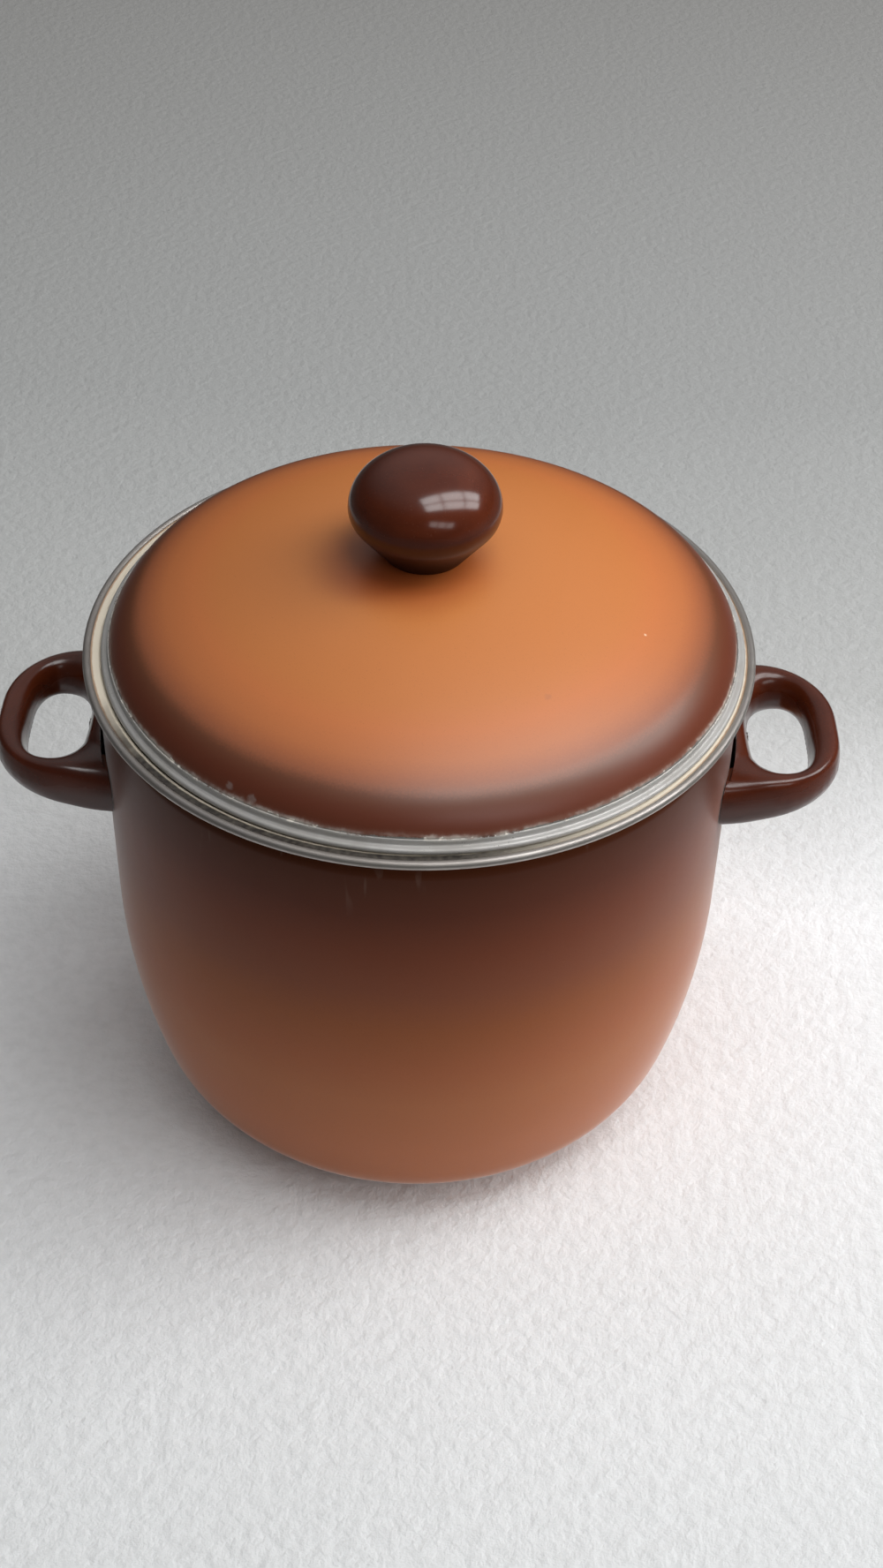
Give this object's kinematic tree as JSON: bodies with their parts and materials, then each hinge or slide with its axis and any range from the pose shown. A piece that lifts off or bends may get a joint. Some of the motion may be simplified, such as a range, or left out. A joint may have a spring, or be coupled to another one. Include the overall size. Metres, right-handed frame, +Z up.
{
  "type": "soup pot with lid",
  "caption": "Deep round enamelled soup pot with a domed lift-off lid, steel-trimmed rims, a mushroom knob and moulded loop handles.",
  "frame": {"origin": "middle of the base ring, on the surface that the pot stands on", "axes": "+Z up along the pot's axis; the two handles point along +X and -X"},
  "size_m": [0.3254, 0.25, 0.2855],
  "materials": {
    "body_enamel": "satin vitreous enamel, dark brown under the rim fading to orange brown, cream inside",
    "lid_enamel": "satin vitreous enamel, orange fading to dark brown at the shoulder, cream inside",
    "bracket_enamel": "enamelled with the body",
    "rim_steel": "worn stainless trim",
    "handle_moulding": "glossy brown phenolic",
    "knob_moulding": "glossy brown phenolic",
    "screw_steel": "plated",
    "insert_brass": "plain",
    "fibre": "pressed fibre"
  },
  "bodies": {
    "pot": {"pot_shell": "body_enamel", "pot_rim_band": "rim_steel", "left_handle_bracket": "bracket_enamel", "right_handle_bracket": "bracket_enamel", "left_handle_grip": "handle_moulding", "right_handle_grip": "handle_moulding", "left_handle_screw": "screw_steel", "right_handle_screw": "screw_steel"},
    "lid": {"lid_shell": "lid_enamel", "lid_rim_band": "rim_steel", "lid_knob": "knob_moulding", "knob_insert": "insert_brass", "knob_screw": "screw_steel", "knob_washer": "screw_steel", "knob_seal": "fibre"}
  },
  "joints": [
    {"name": "lid_lift", "type": "slide", "parent": "pot", "child": "lid", "axis": [0, 0, 1], "range_m": [0, 0.15]}
  ]
}
